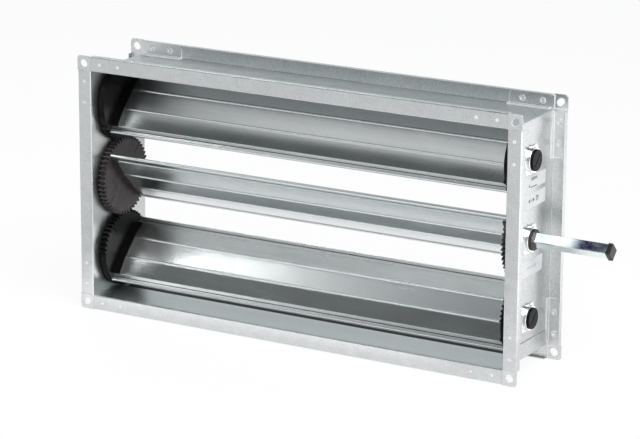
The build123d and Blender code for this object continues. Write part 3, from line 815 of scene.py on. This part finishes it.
def floor_patch(tree, place, across, deep):
    """1 inside a rectangle of the floor, fading out over its border."""
    soft = 0.03
    borders = []
    for value, (low, high) in ((place["X"], across), (place["Y"], deep)):
        borders.append(spread(tree, value, 0.0, 1.0, low - soft, low + soft))
        borders.append(spread(tree, value, 1.0, 0.0, high - soft, high + soft))
    return chained(tree, "MULTIPLY", *borders)


def mirrored_glow(tree, place):
    """How bright the metal sees the floor: rising to the right, with a lit, a shaded and a far dark part."""
    far_slant = 0.58
    diagonal = math_node(tree, "ADD", place["X"], place["Y"])
    sideways = math_node(tree, "SUBTRACT", place["X"], math_node(tree, "MULTIPLY", place["Y"], far_slant))
    plain = spread(tree, diagonal, 0.93, 1.14, -1.2, -0.4)
    right = spread(tree, place["X"], 0.0, 0.65, 0.36, 0.62)
    near_right = math_node(tree, "MULTIPLY", spread(tree, place["Y"], 0.6, 0.0, -0.30, -0.04),
                           spread(tree, place["X"], 0.0, 1.0, 0.36, 0.44))
    lit = math_node(tree, "MULTIPLY", LIT_GLOW, floor_patch(tree, place, *LIT_PATCH))
    shaded = floor_patch(tree, place, *SHADED_PATCH)
    far_left = math_node(tree, "MULTIPLY", spread(tree, place["Y"], 0.0, 0.95, 0.70, 0.85),
                         spread(tree, sideways, 1.0, 0.0, -0.12, 0.06))
    pool = math_node(tree, "SUBTRACT", chained(tree, "ADD", plain, right, near_right, lit), shaded)
    return math_node(tree, "MULTIPLY", pool, math_node(tree, "SUBTRACT", 1.0, far_left))


def floor_paint():
    """Pale matt paint, which glows a little for the camera and for mirroring metal."""
    paint, white, glow_share = 0.86, 1.02, 0.88
    finish, tree, spot = new_finish("floor_paint")
    place = put(tree, "ShaderNodeSeparateXYZ", {0: spot}).outputs
    matt = put(tree, "ShaderNodeBsdfDiffuse", {"Color": (paint, paint, paint, 1)}).outputs[0]
    camera_ray = put(tree, "ShaderNodeLightPath").outputs["Is Camera Ray"]
    strength = put(tree, "ShaderNodeMix", {0: camera_ray, 2: mirrored_glow(tree, place), 3: white},
                   data_type="FLOAT").outputs[0]
    glow = put(tree, "ShaderNodeEmission", {"Color": (1, 1, 1, 1), "Strength": strength}).outputs[0]
    share = math_node(tree, "MULTIPLY", seen_directly(tree), glow_share)
    mixed = put(tree, "ShaderNodeMixShader", {0: share, 1: matt, 2: glow}).outputs[0]
    put(tree, "ShaderNodeOutputMaterial", {"Surface": mixed})
    return finish


def lay_floor():
    work = bmesh.new()
    bmesh.ops.create_grid(work, x_segments=1, y_segments=1, size=FLOOR_HALF)
    bmesh.ops.translate(work, verts=work.verts, vec=(0, 0, FLOOR_Z - FLOOR_BELOW))
    mesh = bpy.data.meshes.new("studio_floor")
    work.to_mesh(mesh)
    work.free()
    mesh.materials.append(floor_paint())
    in_scene("studio_floor", mesh)


def light_world():
    """White behind the object, and an arch of greys for everything that the metal mirrors."""
    brightness = 1.3
    world = bpy.data.worlds.new("studio_air")
    bpy.context.scene.world = world
    world.use_nodes = True
    tree = world.node_tree
    tree.nodes.clear()
    direction = put(tree, "ShaderNodeTexCoord").outputs["Generated"]
    parts = put(tree, "ShaderNodeSeparateXYZ", {0: direction}).outputs
    forward = math_node(tree, "MULTIPLY", parts["Y"], -1.0)
    arch = math_node(tree, "DIVIDE", math_node(tree, "ARCTAN2", parts["Z"], forward), math.pi)
    stops = [(angle / 180, tuple(grey * tint for tint in AIR_TINT)) for angle, grey in ARCH_GREYS]
    path = put(tree, "ShaderNodeLightPath").outputs
    around = put(tree, "ShaderNodeBackground", {"Color": tones(tree, arch, stops),
                                                "Strength": brightness}).outputs[0]
    plain = put(tree, "ShaderNodeBackground", {"Color": (1, 1, 1, 1), "Strength": 1.0}).outputs[0]
    mixed = put(tree, "ShaderNodeMixShader", {0: path["Is Camera Ray"], 1: around, 2: plain}).outputs[0]
    put(tree, "ShaderNodeOutputWorld", {"Surface": mixed})


def hang_lamp(name, place, target, size, watts):
    lamp = bpy.data.lights.new(name, "AREA")
    lamp.shape = "RECTANGLE"
    lamp.size, lamp.size_y = size
    lamp.energy = watts
    holder = in_scene(name, lamp)
    look = Vector(target) - Vector(place)
    holder.location = place
    holder.rotation_euler = look.to_track_quat("-Z", "Y").to_euler()


def set_camera():
    """The photograph's viewpoint: turned round to the right, raised, and slightly rolled."""
    azimuth, elevation, roll = (math.radians(a) for a in (30.18, 15.44, 0.35))
    focal_pixels, picture_width = 2958.0, 640.0
    aside, above, away = -5.6 * MM, 18.1 * MM, 3750.6 * MM
    back = Vector((math.sin(azimuth) * math.cos(elevation), -math.cos(azimuth) * math.cos(elevation),
                   math.sin(elevation)))
    level_right = Vector((math.cos(azimuth), math.sin(azimuth), 0))
    level_up = back.cross(level_right)
    right = math.cos(roll) * level_right + math.sin(roll) * level_up
    up = back.cross(right)
    place = Vector((0, AXIS_Y, 0)) - aside * right - above * up + away * back
    lens = bpy.data.cameras.new("studio_camera")
    lens.sensor_width = 36.0
    lens.lens = focal_pixels * lens.sensor_width / picture_width
    lens.clip_start, lens.clip_end = 0.05, 60.0
    camera = in_scene("studio_camera", lens)
    camera.matrix_world = Matrix.Translation(place) @ Matrix((right, up, back)).transposed().to_4x4()
    bpy.context.scene.camera = camera


lay_floor()
light_world()
for name, box in SOFTBOXES.items():
    hang_lamp(name, **box)
set_camera()
bpy.context.scene.view_settings.view_transform = "Standard"
